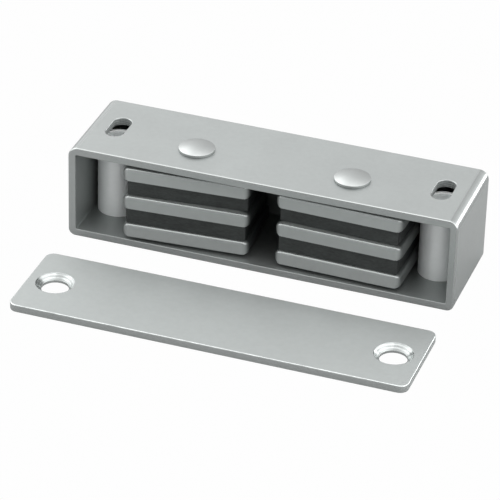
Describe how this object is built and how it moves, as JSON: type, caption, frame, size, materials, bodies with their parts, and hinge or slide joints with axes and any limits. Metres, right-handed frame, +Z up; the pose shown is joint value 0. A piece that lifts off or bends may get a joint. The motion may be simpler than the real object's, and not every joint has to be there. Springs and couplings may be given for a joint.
{
  "type": "magnetic catch",
  "caption": "Surface magnetic catch: box housing open at the front, magnet stacks between steel pole plates floating on rivets, with a countersunk strike plate.",
  "frame": {"origin": "centre of the housing's flat base", "axes": "+X runs along the catch, the open front of the housing faces -Y, +Z points up from the base to the riveted top"},
  "size_m": [0.089, 0.0589, 0.0236],
  "materials": {
    "housing": "satin silver-grey",
    "sleeve": "zinc-plated, turned",
    "rivet": "zinc-plated, headed",
    "spacer": "zinc-plated",
    "pole_plate": "tumbled, zinc-plated",
    "magnet": "matt charcoal ferrite",
    "strike": "satin, zinc-plated"
  },
  "bodies": {
    "housing": {"housing": "housing", "left_screw_sleeve": "sleeve", "right_screw_sleeve": "sleeve", "left_rivet": "rivet", "right_rivet": "rivet", "left_lower_spacer": "spacer", "left_upper_spacer": "spacer", "right_lower_spacer": "spacer", "right_upper_spacer": "spacer", "strike_plate": "strike"},
    "left_stack": {"left_lower_pole_plate": "pole_plate", "left_lower_magnet": "magnet", "left_middle_pole_plate": "pole_plate", "left_upper_magnet": "magnet", "left_upper_pole_plate": "pole_plate"},
    "right_stack": {"right_lower_pole_plate": "pole_plate", "right_lower_magnet": "magnet", "right_middle_pole_plate": "pole_plate", "right_upper_magnet": "magnet", "right_upper_pole_plate": "pole_plate"}
  },
  "joints": [
    {"name": "left_stack_swivel", "type": "hinge", "parent": "housing", "child": "left_stack", "pos_m": [-0.0179, -0.00282, 0.0111], "axis": [0, 0, 1], "range_deg": [-8.9, 1.1]},
    {"name": "right_stack_swivel", "type": "hinge", "parent": "housing", "child": "right_stack", "pos_m": [0.0179, -0.00282, 0.0111], "axis": [0, 0, 1], "range_deg": [-3.6, 6.4]}
  ]
}
